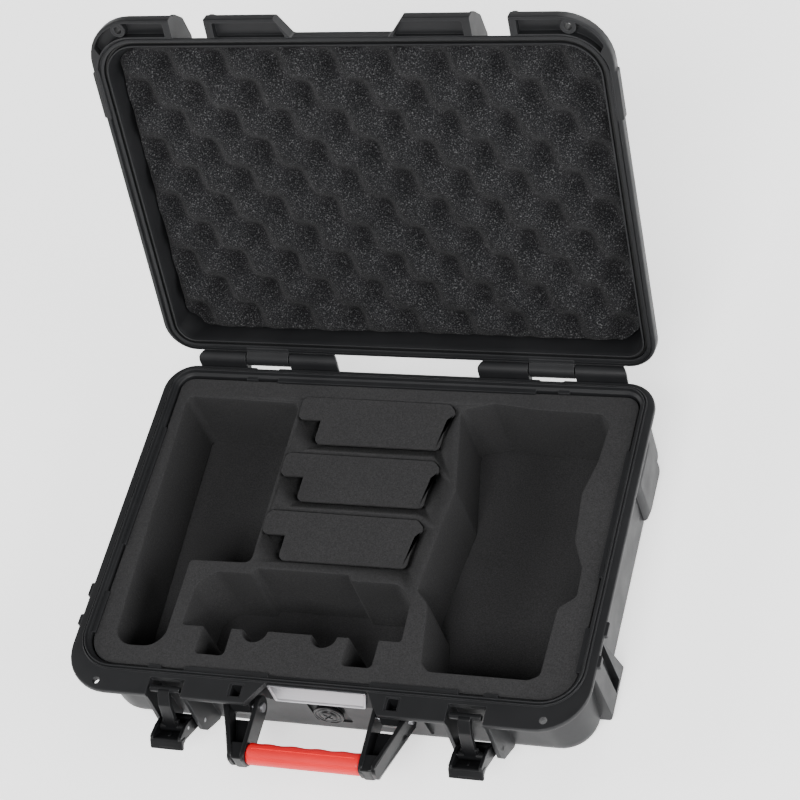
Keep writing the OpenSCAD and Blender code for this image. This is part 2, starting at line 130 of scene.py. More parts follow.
def rounded(points, radius, steps=5):
    """A polygon with its corners filleted. A point may carry its own radius as a third number."""
    out = []
    n = len(points)
    for i, p in enumerate(points):
        r = p[2] if len(p) > 2 else radius
        here = Vector(p[:2])
        a = Vector(points[i - 1][:2]) - here
        b = Vector(points[(i + 1) % n][:2]) - here
        half = a.angle(b) / 2
        reach = min(r / tan(half) if half > 0.01 else 0, a.length * 0.48, b.length * 0.48)
        if half > radians(88) or reach < 1e-4:
            out.append(tuple(here))
            continue
        r = reach * tan(half)
        centre = here + (a.normalized() + b.normalized()).normalized() * (r / sin(half))
        p0 = here + a.normalized() * reach - centre
        p1 = here + b.normalized() * reach - centre
        start = atan2(p0.y, p0.x)
        sweep = (atan2(p1.y, p1.x) - start + pi) % (2 * pi) - pi
        for k in range(steps + 1):
            t = start + sweep * k / steps
            out.append((centre.x + r * cos(t), centre.y + r * sin(t)))
    return out


def grown(points, d):
    """An anticlockwise outline moved outwards by d."""
    out = []
    n = len(points)
    for i in range(n):
        a, b, c = (Vector(points[j % n]) for j in (i - 1, i, i + 1))
        e0, e1 = (b - a).normalized(), (c - b).normalized()
        n0, n1 = Vector((e0.y, -e0.x)), Vector((e1.y, -e1.x))
        m = (n0 + n1) / max(1 + n0.dot(n1), 0.3)
        out.append(tuple(b + m * d))
    return out


# ------------------------------------------------------------ meshes

def to_object(name, bm, place=Matrix.Identity(4)):
    """A bmesh in millimetres becomes an object in metres."""
    bmesh.ops.recalc_face_normals(bm, faces=bm.faces)
    bm.transform(Matrix.Scale(MM, 4) @ place)
    mesh = bpy.data.meshes.new(name)
    bm.to_mesh(mesh)
    bm.free()
    obj = bpy.data.objects.new(name, mesh)
    bpy.context.scene.collection.objects.link(obj)
    return obj


def loft(rings, closed=False):
    """Skin through rings of (outline, height); the ends are capped, or joined when closed."""
    bm = bmesh.new()
    rows = [[bm.verts.new((x, y, z)) for x, y in pts] for pts, z in rings]
    n = len(rows[0])
    pairs = list(zip(rows[:-1], rows[1:]))
    if closed:
        pairs.append((rows[-1], rows[0]))
    for low, high in pairs:
        for i in range(n):
            j = (i + 1) % n
            bm.faces.new((low[i], low[j], high[j], high[i]))
    if not closed:
        bm.faces.new(rows[0][::-1])
        bm.faces.new(rows[-1])
    return bm


TO_X = Matrix(((0, 0, 1, 0), (1, 0, 0, 0), (0, 1, 0, 0), (0, 0, 0, 1)))
TO_Y = Matrix(((1, 0, 0, 0), (0, 0, 1, 0), (0, 1, 0, 0), (0, 0, 0, 1)))
TO_Z = Matrix.Identity(4)


def prism(points, low, high, way=TO_Z, bevel=0.0, segments=2):
    """An extruded polygon: its points lie across the way, and low to high runs along it."""
    bm = loft([(points, low), (points, high)])
    if bevel:
        bmesh.ops.dissolve_limit(bm, angle_limit=radians(0.5), verts=bm.verts, edges=bm.edges)
        sharp = [e for e in bm.edges if e.calc_face_angle(0) > radians(25)]
        bmesh.ops.bevel(
            bm, geom=sharp, offset=bevel, segments=segments, profile=0.5, affect="EDGES", clamp_overlap=True
        )
    bm.transform(way)
    return bm


def turned(profile, segments=48):
    """A solid of revolution about Z from (radius, height) pairs; radius 0 closes an end."""
    bm = bmesh.new()
    rows = []
    for r, z in profile:
        if r == 0:
            rows.append([bm.verts.new((0, 0, z))])
        else:
            rows.append([bm.verts.new((x, y, z)) for x, y in list(arc(0, 0, r, 0, 360, segments))[:-1]])
    for low, high in zip(rows[:-1], rows[1:]):
        for i in range(segments):
            j = (i + 1) % segments
            if len(low) == 1:
                bm.faces.new((low[0], high[j], high[i]))
            elif len(high) == 1:
                bm.faces.new((low[i], low[j], high[0]))
            else:
                bm.faces.new((low[i], low[j], high[j], high[i]))
    return bm


def rod(x0, x1, y, z, r, round_over=0.4, segments=32):
    """A rod along X with rounded ends."""
    length = x1 - x0
    bm = turned([
        (0, 0), (r - round_over, 0), (r - round_over * 0.3, round_over * 0.3), (r, round_over),
        (r, length - round_over), (r - round_over * 0.3, length - round_over * 0.3),
        (r - round_over, length), (0, length),
    ], segments)
    bm.transform(Matrix.Translation((x0, y, z)) @ TO_X)
    return bm


def mirrored(bm):
    """A copy of a bmesh on the other side."""
    other = bm.copy()
    other.transform(Matrix.Scale(-1, 4, (1, 0, 0)))
    bmesh.ops.reverse_faces(other, faces=other.faces)
    return other


def both(*solids):
    """The solids and their mirror images."""
    return [s for bm in solids for s in (bm, mirrored(bm))]


def boolean(obj, solids, operation):
    """Adds or cuts closed solids, one by one, and keeps the result in obj's mesh."""
    for i, bm in enumerate(solids):
        tool = to_object("tool_%d" % i, bm)
        mod = obj.modifiers.new("bool", "BOOLEAN")
        mod.operation = operation
        mod.object = tool
        mod.solver = "EXACT"
        fresh = bpy.data.meshes.new_from_object(obj.evaluated_get(bpy.context.evaluated_depsgraph_get()))
        obj.modifiers.clear()
        old = obj.data
        obj.data = fresh
        bpy.data.meshes.remove(old)
        bpy.data.objects.remove(tool)


def dress(obj, material, sharp=32):
    """Material, smooth shading with sharp edges above an angle, and flat faces kept flat."""
    obj.data.materials.clear()
    obj.data.materials.append(material)
    for p in obj.data.polygons:
        p.use_smooth = True
    obj.data.set_sharp_from_angle(angle=radians(sharp))
    mod = obj.modifiers.new("normals", "WEIGHTED_NORMAL")
    mod.keep_sharp = True
    return obj


def moved(obj, place):
    """Moves a finished mesh by a matrix given in millimetres."""
    metres = place.copy()
    metres.translation = place.translation * MM
    obj.data.transform(metres)
    return obj


def fit_piece(obj, body, slot, *nodes):
    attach(obj, body)
    if nodes:
        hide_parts(*nodes)
    return obj


# ------------------------------------------------------------ materials

def new_material(name):
    mat = bpy.data.materials.new(name)
    mat.use_nodes = True
    tree = mat.node_tree
    return mat, tree, tree.nodes["Principled BSDF"]


def node(tree, kind, **values):
    """A node with its attributes or input sockets set by name; an underscore in the name stands for a space."""
    n = tree.nodes.new(kind)
    for key, value in values.items():
        if hasattr(n, key):
            setattr(n, key, value)
        else:
            n.inputs[key.replace("_", " ")].default_value = value
    return n


def ramp(tree, source, stops):
    """A colour ramp fed by source, with stops of (position, colour)."""
    r = tree.nodes.new("ShaderNodeValToRGB")
    while len(r.color_ramp.elements) < len(stops):
        r.color_ramp.elements.new(0.5)
    for element, (pos, colour) in zip(r.color_ramp.elements, stops):
        element.position = pos
        element.color = (*colour, 1) if len(colour) == 3 else colour
    tree.links.new(source, r.inputs["Fac"])
    return r.outputs["Color"]


def grey(v):
    return (v, v, v)


def place_coords(tree):
    return tree.nodes.new("ShaderNodeTexCoord").outputs["Object"]


def noise_of(tree, coords, scale, detail=4.0, roughness=0.6):
    n = node(tree, "ShaderNodeTexNoise", Scale=scale, Detail=detail, Roughness=roughness)
    tree.links.new(coords, n.inputs["Vector"])
    return n.outputs["Fac"]


def bump_chain(tree, bsdf, layers, edge=0.0):
    """Stacks bumps of (height, strength, distance in mm) on the shader, over softly rounded edges."""
    normal = None
    if edge:
        soft = node(tree, "ShaderNodeBevel", Radius=edge * MM, samples=6)
        normal = soft.outputs["Normal"]
    for height, strength, distance in layers:
        b = node(tree, "ShaderNodeBump", Strength=strength, Distance=distance * MM)
        tree.links.new(height, b.inputs["Height"])
        if normal:
            tree.links.new(normal, b.inputs["Normal"])
        normal = b.outputs["Normal"]
    tree.links.new(normal, bsdf.inputs["Normal"])


def plastic(name, dark, light, rough, grain, grain_scale, edge=0.35, specular=0.5):
    """Moulded plastic: grained, a little uneven in colour, duller where it is handled, with a painted highlight: its
    colour is made paler along its edges.
    """
    mat, tree, bsdf = new_material(name)
    coords = place_coords(tree)
    broad = noise_of(tree, coords, 18, 3)
    fine = noise_of(tree, coords, grain_scale, 2, 0.7)
    body = ramp(tree, broad, [(0.3, dark), (0.7, light)])
    # Painted highlight: the colour is lightened along edges, where the softened normal bends away from the face
    # normal.
    geometry = tree.nodes.new("ShaderNodeNewGeometry")
    soft = node(tree, "ShaderNodeBevel", Radius=0.7 * MM, samples=6)
    bend = node(tree, "ShaderNodeVectorMath", operation="DOT_PRODUCT")
    tree.links.new(soft.outputs["Normal"], bend.inputs[0])
    tree.links.new(geometry.outputs["Normal"], bend.inputs[1])
    painted_edge_highlight = ramp(tree, bend.outputs["Value"], [(0.90, grey(0.55)), (0.995, grey(0))])
    mix = node(tree, "ShaderNodeMix", data_type="RGBA")
    tree.links.new(painted_edge_highlight, mix.inputs["Factor"])
    tree.links.new(body, mix.inputs["A"])
    mix.inputs["B"].default_value = (*[c * 2.0 + 0.006 for c in light], 1)
    tree.links.new(mix.outputs["Result"], bsdf.inputs["Base Color"])
    dull = ramp(tree, noise_of(tree, coords, 45, 5), [(0.25, grey(rough - 0.06)), (0.75, grey(rough + 0.08))])
    tree.links.new(dull, bsdf.inputs["Roughness"])
    bsdf.inputs["Specular IOR Level"].default_value = specular
    bump_chain(tree, bsdf, [(fine, grain, 0.05), (broad, 0.08, 0.3)], edge)
    return mat


def foam(name, dark, light, grain_scale, glint_brightness, cell_depth, glint_band=(0.66, 0.76)):
    """Foam: fine open cells, pale specks painted in as glints, and a little sheen at grazing angles."""
    mat, tree, bsdf = new_material(name)
    coords = place_coords(tree)
    cells = node(tree, "ShaderNodeTexVoronoi", Scale=grain_scale)
    tree.links.new(coords, cells.inputs["Vector"])
    fine = noise_of(tree, coords, grain_scale * 0.7, 3, 0.75)
    broad = noise_of(tree, coords, 14, 3)
    base = ramp(tree, fine, [(0.35, dark), (0.68, light)])
    # Painted glints: pale specks added to the colour stand in for light sparkling on the foam cells.
    painted_glints = ramp(tree, fine, [(glint_band[0], grey(0)), (glint_band[1], grey(glint_brightness))])
    glint = node(tree, "ShaderNodeMix", data_type="RGBA", blend_type="ADD")
    glint.inputs["Factor"].default_value = 1.0
    tree.links.new(base, glint.inputs["A"])
    tree.links.new(painted_glints, glint.inputs["B"])
    shade = node(tree, "ShaderNodeMix", data_type="RGBA", blend_type="MULTIPLY")
    shade.inputs["Factor"].default_value = 1.0
    tree.links.new(glint.outputs["Result"], shade.inputs["A"])
    tree.links.new(ramp(tree, broad, [(0.3, grey(0.86)), (0.7, grey(1.0))]), shade.inputs["B"])
    tree.links.new(shade.outputs["Result"], bsdf.inputs["Base Color"])
    rough = ramp(tree, fine, [(0.3, grey(0.95)), (0.8, grey(0.7))])
    tree.links.new(rough, bsdf.inputs["Roughness"])
    bsdf.inputs["Specular IOR Level"].default_value = 0.12
    bsdf.inputs["Sheen Weight"].default_value = 0.02
    bsdf.inputs["Sheen Roughness"].default_value = 0.6
    bump_chain(tree, bsdf, [(cells.outputs["Distance"], 0.5, cell_depth), (fine, 0.5, cell_depth)])
    return mat


def metal(name, colour, rough, stretch=(4, 400, 400)):
    """Brushed metal: streaks along X, uneven gloss."""
    mat, tree, bsdf = new_material(name)
    coords = place_coords(tree)
    mapping = tree.nodes.new("ShaderNodeMapping")
    mapping.inputs["Scale"].default_value = stretch
    tree.links.new(coords, mapping.inputs["Vector"])
    streaks = noise_of(tree, mapping.outputs["Vector"], 6, 4)
    tree.links.new(
        ramp(tree, streaks, [(0.3, tuple(c * 0.82 for c in colour)), (0.7, colour)]), bsdf.inputs["Base Color"]
    )
    tree.links.new(ramp(tree, streaks, [(0.3, grey(rough)), (0.7, grey(rough + 0.15))]), bsdf.inputs["Roughness"])
    bsdf.inputs["Metallic"].default_value = 1.0
    bump_chain(tree, bsdf, [(streaks, 0.25, 0.03)], 0.15)
    return mat


SHELL = plastic("shell_plastic", (0.0090, 0.0092, 0.0100), (0.0130, 0.0133, 0.0142), 0.46, 0.35, 1400, 0.35, 0.2)
LATCH = plastic("latch_plastic", (0.0050, 0.0051, 0.0056), (0.0075, 0.0077, 0.0083), 0.34, 0.15, 1800, 0.35, 0.2)
SEAL = plastic("seal_rubber", grey(0.004), grey(0.007), 0.55, 0.2, 1200, 0.2, 0.25)
GRIP = plastic("grip_rubber", (0.60, 0.003, 0.008), (0.70, 0.006, 0.012), 0.42, 0.3, 1500, 0.4, 0.35)
BASE_FOAM = foam("base_foam", (0.0185, 0.0184, 0.0190), (0.0325, 0.0321, 0.0330), 1500, 0.02, 0.12)
LID_FOAM = foam("lid_foam", (0.0030, 0.0030, 0.0034), (0.0150, 0.0150, 0.0165), 1500, 0.13, 0.35, (0.56, 0.72))
PLATE = metal("plate_metal", (0.42, 0.42, 0.44), 0.32)
PIN = metal("pin_steel", (0.40, 0.40, 0.42), 0.30)

# ------------------------------------------------------------ base shell

def base_body():
    """Wall, bottom, flange and the two sealing ridges, as one skin from the outside bottom to the inside floor."""
    corner = 13.0
    rings = [(rim(-26), 0.8), (rim(-25), 0.0)]
    for deg in range(90, -1, -15):
        a = radians(deg)
        rings.append((rim(1.6 - corner + corner * cos(a)), corner - corner * sin(a)))
    rings += [(rim(3.5), RIM - FLANGE_T - 1.6), (rim(4.1), RIM - FLANGE_T - 0.4), (rim(5.2), RIM - FLANGE_T)]
    for inset, z in ((1.6, -4.5), (0.5, -4.1), (0.0, -3.2), (0.0, -1.3), (0.4, -0.4), (1.3, 0.0)):
        rings.append((flange(inset), RIM + z))
    ridges = (
        (6.0, 0.0), (5.6, 0.15), (5.45, 1.0), (5.2, 1.25), (4.9, 1.25), (4.65, 1.0), (4.55, 0.2), (4.0, 0.2),
        (3.9, 1.9), (3.65, 2.2), (3.15, 2.2), (2.9, 1.9), (2.75, 0.6), (2.3, -0.6), (0.5, -1.6), (0.0, -2.4),
    )
    rings += [(rim(d), RIM + z) for d, z in ridges]
    rings += [(rim(-2), 17), (rim(-5), 7), (rim(-9), 4.5)]
    return to_object("base_shell_body", loft(rings))


def latch_bay_x(side):
    """Where the inner (-1) or outer (1) fin of the right latch starts."""
    return LATCH_X + side * (LATCH_GAP / 2 + FIN_T / 2) - FIN_T / 2


def fin(side):
    outline = rounded([
        (-114, RIM - 3), (-134, RIM - 3, 1), (-134, RIM - 13), (LEVER_Y - 6.4, LEVER_Z - 1.5, 1.4),
        (LEVER_Y - 3, LEVER_Z - 9, 2.2), (-114, RIM - 64),
    ], 2)
    x = latch_bay_x(side)
    return prism(outline, x, x + FIN_T, TO_X, 0.5)


def handle_lug():
    outline = rounded([
        (-116, RIM - 3), (-132, RIM - 3), (PIVOT_Y - 5, PIVOT_Z + 1), (PIVOT_Y - 4, PIVOT_Z - 5, 5),
        (PIVOT_Y + 4, PIVOT_Z - 5, 5), (-116, PIVOT_Z - 3),
    ], 1)
    return prism(outline, 46, 60, TO_X, 0.5)


def knuckle(x0, x1, slant_left, slant_right):
    """A barrel round the hinge line with its web down to the wall; its free end slants."""
    outline = list(arc(HINGE.y, HINGE.z, KNUCKLE_R, -35, 175, 14))
    outline += [(HINGE.y - 6.2, RIM - 4.0), (128, RIM - 4.0), (128, RIM - 18), (134, RIM - 15)]
    bm = prism(outline, x0, x1, TO_X, 0.6)
    for v in bm.verts:
        reach = max(v.co.y - (HINGE.y - 3), 0) * 0.55
        if slant_left and v.co.x < x0 + 2:
            v.co.x += reach
        if slant_right and v.co.x > x1 - 2:
            v.co.x -= reach
    return bm


def strap_anchor():
    """Buttress on the side wall near the front corner, with its vertical slot."""
    outline = rounded([
        (172, RIM - 4), (179.5, RIM - 4), (180.5, RIM - 14), (182, 9, 3), (180, 3.5, 3), (172, 3.5),
    ], 1)
    place = Matrix(((1, 0, 0, 0), (0, 0, -1, 0), (0, 1, 0, 0), (0, 0, 0, 1)))
    bm = prism(outline, 50, 88, place, 0.8)
    for v in bm.verts:
        depth = RIM - v.co.z
        if v.co.y > -70:
            v.co.y -= max(14 - depth * 0.28, 0)
    return bm


def side_pad():
    """Raised panel on the side wall towards the hinges."""
    low = rounded([(60, 12), (106, 12), (106, RIM - 14), (60, RIM - 14)], 5)
    high = rounded([(65, 17), (101, 17), (101, RIM - 19), (65, RIM - 19)], 4)
    bm = loft([(low, 170), (low, 176.2), (grown(low, -1.0), 177.6), (high, 180)])
    bm.transform(TO_X)
    return bm


def front_panel():
    """Thick middle of the front wall: a wedge for the plate over a flat for the valve."""
    wedge = [
        (-112, RIM - 1.3), (-118.5, RIM - 1.3), (-122.1, RIM - 15.9), (-120, RIM - 18.2), (-117.6, 18), (-112, 10),
    ]
    flat = [(-112, RIM - 4), (-117.4, RIM - 4), (-120, RIM - 18.5), (-117.6, 18), (-112, 10)]
    return [prism(rounded(wedge, 0.8, 3), -36.5, 36.5, TO_X, 0.4), prism(rounded(flat, 1, 3), -66, 66, TO_X, 0.8)]


def foam_lips():
    """Short lips on the inner rim that hold the foam down."""
    lips = []

    def lip(points):
        lips.append(prism(rounded(points, 0.6, 2), RIM - 3.4, RIM - 1.0, TO_Z, 0.4))

    back, front, side = CAV_BACK, CAV_FRONT, CAV_X
    lip([(-97, back - 2.6), (97, back - 2.6), (97, back + 1), (-97, back + 1)])
    for x0, x1, reach in ((36, 97, 2.4), (114, 123.5, 1.6), (-97, -36, 2.4), (-123.5, -114, 1.6)):
        lip([(x0, front - 1), (x1, front - 1), (x1, front + reach), (x0, front + reach)])
    for x0, x1 in ((113, 121.5), (-121.5, -113)):
        lip([(x0, back - 1.8), (x1, back - 1.8), (x1, back + 1), (x0, back + 1)])
    for y0, y1, reach in ((-91, -58, 2.6), (-20, 80, 2.2)):
        lip([(side - reach, y0), (side + 1, y0), (side + 1, y1), (side - reach, y1)])
        lips.append(mirrored(lips[-1]))
    return lips


def base_shell():
    obj = base_body()
    cuts = both(
        prism(rounded([
            (LATCH_X - LATCH_GAP / 2, -140), (LATCH_X + LATCH_GAP / 2, -140),
            (LATCH_X + LATCH_GAP / 2, -121.5), (LATCH_X - LATCH_GAP / 2, -121.5),
        ], 1), RIM - 10, RIM + 5),
        prism(list(arc(LOCK_X, LOCK_Y, LOCK_R, 0, 360, 32))[:-1], RIM - 10, RIM + 5),
        prism(rounded([(98, 133.4), (116, 133.4), (116, 138), (98, 138)], 0.8), RIM - 10, RIM + 5),
    )
    plate_notch = rounded([
        (-50, -138), (50, -138), (47, -135, 2), (36, -118.3, 3), (-36, -118.3, 3), (-47, -135, 2),
    ], 1)
    cuts.append(prism(plate_notch, RIM - 10, RIM + 5))
    boolean(obj, cuts, "DIFFERENCE")
    adds = both(
        fin(-1), fin(1), handle_lug(), knuckle(53, 90, True, False), knuckle(124, 161, False, True),
        strap_anchor(), side_pad(),
        prism(rounded([(181, -64), (186, -63), (186, -53), (181, -52)], 1), RIM - 4.2, RIM - 0.6, TO_Z, 0.5),
        prism(rounded([(181, -87), (186, -86), (186, -78), (181, -77)], 1), RIM - 4.2, RIM - 0.6, TO_Z, 0.5),
    )
    adds += front_panel() + foam_lips()
    boolean(obj, adds, "UNION")
    holes = [
        prism(rounded([(-13, RIM - 46), (13, RIM - 46), (13, RIM - 20), (-13, RIM - 20)], 2), -135, -117, TO_Y),
    ]
    holes += both(
        prism([(176.2, -72), (190, -72), (190, -62), (176.2, -62)], 12, RIM - 11),
        prism(rounded([(50.0, -131.0), (60.2, -131.0), (60.2, -120.6), (50.0, -120.6)], 0.6), RIM - 0.7, RIM + 5),
        prism(rounded([(51.4, -130.0), (58.8, -130.0), (58.8, -121.6), (51.4, -121.6)], 0.5), RIM - 13, RIM + 5),
    )
    boolean(obj, holes, "DIFFERENCE")
    return fit_piece(dress(obj, SHELL), "base", "shell_plastic", "base_shell")


# ------------------------------------------------------------ foam in the base

def foam_cutter(outline):
    """A pocket that flares out a little at its mouth, so the cut edge of the foam is soft."""
    return loft([
        (grown(outline, -0.8), FOAM_LOW - 2), (grown(outline, -0.2), FOAM_TOP - 6),
        (outline, FOAM_TOP - 1.3), (grown(outline, 0.35), FOAM_TOP - 0.45),
        (grown(outline, 1.25), FOAM_TOP), (grown(outline, 1.6), FOAM_TOP + 2),
    ])


def pocket_outlines():
    drone = [
        (50, -38, 6), (60, -48, 10), (66, -92), (72, -98), (140, -98), (147, -94), (148, -44, 5), (159, -34),
        (158, -12), (149, 8, 10), (146, 45, 10), (152, 72, 8), (154, 103), (146, 110), (104, 111, 20), (68, 114.5),
        (46, 108), (58, 42, 10), (54, 10, 10),
    ]
    outlines = [rounded(drone, 5)]
    battery = [(-53, 0), (37, 0), (37, 24, 1), (42, 30, 2), (37, 35), (-71, 36), (-71, 20), (-53, 20, 2)]
    for y in (-22, 26, 74):
        outlines.append(rounded([(p[0], p[1] + y, *p[2:]) for p in battery], 3))
    bay = [(-156, -97, 14), (-120, -96, 14), (-120, -27, 3), (-75, -26), (-76, 107), (-164, 109), (-160, 0, 30)]
    outlines.append(rounded(bay, 5, 7))
    cx = -31
    controller = [
        (cx - 79, -74, 5), (cx - 79, -78, 4), (cx + 79, -78, 4), (cx + 79, -74, 5), (cx + 78, -45, 14),
        (cx + 66, -35, 10), (cx + 32, -35, 3), (cx + 30, -30.5, 3), (cx - 38, -30.5, 3), (cx - 40, -35, 3),
        (cx - 66, -35, 10), (cx - 78, -45, 14),
    ]
    outlines.append(rounded(controller, 4))
    for side in (-1, 1):
        x = cx + side * 53
        outlines.append(rounded([(x - 10.5, -99), (x + 10.5, -99), (x + 10.5, -70), (x - 10.5, -70)], 3))
        outlines.append(list(arc(cx + side * 25, -78, 9, 0, 360, 32))[:-1])
    return outlines


def base_foam():
    rings = [
        (rim(-4.5), FOAM_LOW), (rim(-4), FOAM_LOW + 0.6), (rim(-2.9), 17), (rim(-1.0), FOAM_TOP - 1.2),
        (rim(-1.3), FOAM_TOP - 0.35), (rim(-2.2), FOAM_TOP),
    ]
    obj = to_object("base_foam_block", loft(rings))
    boolean(obj, [foam_cutter(o) for o in pocket_outlines()], "DIFFERENCE")
    fit_piece(dress(obj, BASE_FOAM, 40), "base", "base_foam", "base_foam")


def rounded_place(x, y, half_x, front, back, radius):
    """Where a point of a square-cornered sheet goes when its corners are made round."""
    dx = abs(x) - (half_x - radius)
    dy = max(y - (back - radius), (front + radius) - y)
    if dx <= 0 or dy <= 0:
        return x, y
    pull = 1 - max(dx, dy) / hypot(dx, dy)
    towards_middle = 1 if y < front + radius else -1
    return x - copysign(dx * pull, x), y + towards_middle * dy * pull


def grid_sheet(name, half_x, front, back, step, height, bottom, place=Matrix.Identity(4), radius=20, draft=0):
    """A closed slab with round corners whose top follows height(x, y). Its far face starts draft behind the front."""
    bm = bmesh.new()
    cols, rows = round(2 * half_x / step), round((back - front) / step)
    top = {}
    for i in range(cols + 1):
        for j in range(rows + 1):
            x, y = -half_x + 2 * half_x * i / cols, front + (back - front) * j / rows
            x, y = rounded_place(x, y, half_x, front, back, radius)
            top[i, j] = bm.verts.new((x, y, height(x, y)))
    low = {}
    border = [(i, 0) for i in range(cols)] + [(cols, j) for j in range(rows)]
    border += [(i, rows) for i in range(cols, 0, -1)] + [(0, j) for j in range(rows, 0, -1)]
    for key in border:
        v = top[key].co
        low[key] = bm.verts.new((v.x, v.y + draft * (back - v.y) / (back - front), bottom))
    for i in range(cols):
        for j in range(rows):
            bm.faces.new((top[i, j], top[i + 1, j], top[i + 1, j + 1], top[i, j + 1]))
    n = len(border)
    for k in range(n):
        a, b = border[k], border[(k + 1) % n]
        bm.faces.new((top[a], low[a], low[b], top[b]))
    bm.faces.new([low[key] for key in border][::-1])
    return to_object(name, bm, place)


def base_foam_pad():
    top = FOAM_LOW - 0.5

    def height(x, y):
        """Nearly flat, with the slight unevenness of a sheet that was cut and laid by hand."""
        edge = min(CAV_X - 6 - abs(x), y - CAV_FRONT - 6, CAV_BACK - 6 - y)
        return top - 0.35 + 0.35 * noise.noise(Vector((x, y, 3)) * 0.03) - 1.5 * max(0, 1 - edge / 3) ** 2

    obj = grid_sheet("base_foam_sheet", CAV_X - 6, CAV_FRONT + 6, CAV_BACK - 6, 6, height, 5.4)
    fit_piece(dress(obj, BASE_FOAM, 50), "base", "base_foam", "base_foam_pad")


# ------------------------------------------------------------ lid

def lid_body():
    """Dome, flange and the rim's ridges and grooves, closed, as one skin from the outside top to the inside."""
    rings = [
        (lid_slab(-26, -66, -24), LID_TOP), (lid_slab(-9, -84, -8), LID_TOP),
        (lid_slab(-5, -88.5, -4.3), RIM + 43.2), (lid_slab(-2.2, -92.5, -1.6), RIM + 41.2),
        (lid_slab(-0.2, -96, 0.2), RIM + 38), (lid_slab(1.0, -98.6, 1.5), RIM + 35),
        (lid_slab(1.7, -101.2, 2.2), RIM + 31), (rim(4.0), LID_Z + 8.6), (rim(4.6), LID_Z + 8.1),
    ]
    for inset, z in ((1.4, 8.0), (0.4, 7.6), (0.0, 6.8), (0.0, 1.2), (0.35, 0.3), (1.1, 0.0)):
        rings.append((flange(inset), LID_Z + z))
    ridges = (
        (8.4, 0.3), (8.15, 0.6), (8.0, 2.6), (7.1, 2.6), (6.9, 1.9), (6.4, 1.65), (4.8, 1.65), (4.35, 1.9),
        (4.2, 3.0), (4.15, 6.9), (2.25, 6.9), (2.2, 3.0), (2.05, 1.9), (1.8, 1.65), (1.3, 1.65), (1.05, 1.9),
        (0.95, 3.0), (0.1, 5.0),
    )
    rings += [(rim(d), RIM + z) for d, z in ridges]
    rings += [
        (lid_slab(-2, -98.5, -1.5), RIM + 31), (lid_slab(-4, -92.5, -3.5), RIM + 37),
        (lid_slab(-9, -86, -8), LID_TOP - 3.2), (lid_slab(-26, -68, -24), LID_TOP - 3.0),
    ]
    return to_object("lid_shell_body", loft(rings))


def ear(side):
    outline = rounded([
        (-121, LID_Z), (-133.4, LID_Z, 0.8), (-133.4, RIM + 12, 5), (-125.5, RIM + 22, 6), (-103.5, RIM + 30.5, 2),
        (-115.4, LID_Z + 8.5), (-119, LID_Z + 6),
    ], 1)
    x = latch_bay_x(side)
    return prism(outline, x, x + FIN_T, TO_X, 0.5)


def lid_knuckle():
    outline = list(arc(HINGE.y, HINGE.z, KNUCKLE_R, -150, 90, 16))
    outline += [
        (128.5, RIM + 14), (128.5, LID_Z + 8.2), (132.2, LID_Z + 6), (132.2, LID_Z + 0.8),
        (HINGE.y - 6.4, LID_Z + 0.8),
    ]
    return prism(outline, 90.6, 123.4, TO_X, 0.6)


def corner_recess():
    """Outline of the hollow in the lid flange that runs from a latch gap round the front corner."""
    outer_y, inner_y = CAV_FRONT - 19.6, CAV_FRONT - 9.4
    outer_r, inner_r = 31.6, 31.4
    start_x, cx = 123.5, FLANGE_X - FLANGE_R_FRONT
    pts = [(start_x, outer_y)] + list(arc(cx, outer_y + outer_r, outer_r, -90, -24, 12))
    pts += list(arc(cx, inner_y + inner_r, inner_r, -34, -90, 12)) + [(start_x, inner_y)]
    return pts


def lid_shell():
    obj = lid_body()
    gap0, gap1 = LATCH_X - LATCH_GAP / 2, LATCH_X + LATCH_GAP / 2
    cuts = both(
        prism([
            (-140, RIM - 1), (-120.6, RIM - 1), (-120.6, RIM + 2.1), (-120.3, RIM + 2.7), (-119.6, RIM + 3.1),
            (-117.0, RIM + 3.1), (-117.0, RIM + 9), (-140, RIM + 9),
        ], gap0, gap1, TO_X),
        prism(corner_recess(), LID_Z - 2, LID_Z + 5.4),
        prism(list(arc(LOCK_X, LOCK_Y, LOCK_R, 0, 360, 32))[:-1], RIM - 10, RIM + 20),
    )
    cuts.append(prism(rounded([
        (38, -120.5, 1.5), (45, -132.4, 2), (87.5, -132.4, 1.5), (87.5, -120.5, 1.5),
    ], 1.5)[::-1], LID_Z - 2, LID_Z + 5.4))
    cuts.append(prism(rounded([
        (-87.5, -120.5, 1.5), (-87.5, -132.4, 1.5), (-41, -132.4, 2), (-36, -120.5, 1.5),
    ], 1.5), LID_Z - 2, LID_Z + 5.4))
    plate_notch = rounded([
        (-43, -140), (47, -140), (47, -135), (36, -121, 3), (-33, -121, 3), (-43, -135),
    ], 1)
    cuts.append(prism(plate_notch, RIM - 5, RIM + 9))
    cuts += [
        prism(rounded([(-140, y - 22), (140, y - 22), (140, y + 22), (-140, y + 22)], 5), LID_TOP - 1.2, LID_TOP + 4)
        for y in (-40, 24, 88)
    ]
    boolean(obj, cuts, "DIFFERENCE")
    boss = turned([
        (LOCK_R, LID_Z + 0.2), (LOCK_R + 0.3, LID_Z), (5.0, LID_Z), (5.3, LID_Z + 0.3), (5.3, LID_Z + 8),
        (LOCK_R, LID_Z + 8), (LOCK_R, LID_Z + 0.2),
    ], 40)
    bmesh.ops.remove_doubles(boss, verts=boss.verts, dist=1e-4)
    boss.transform(Matrix.Translation((LOCK_X, LOCK_Y, 0)))
    pad = prism(rounded([(180, -97), (185.2, -95), (185.2, -60), (180, -58)], 1), LID_Z + 0.3, LID_Z + 7, TO_Z, 0.5)
    boolean(obj, both(ear(-1), ear(1), lid_knuckle(), pad, boss), "UNION")
    moved(obj, LID_OPEN)
    return fit_piece(dress(obj, SHELL), "lid", "shell_plastic", "lid_shell")


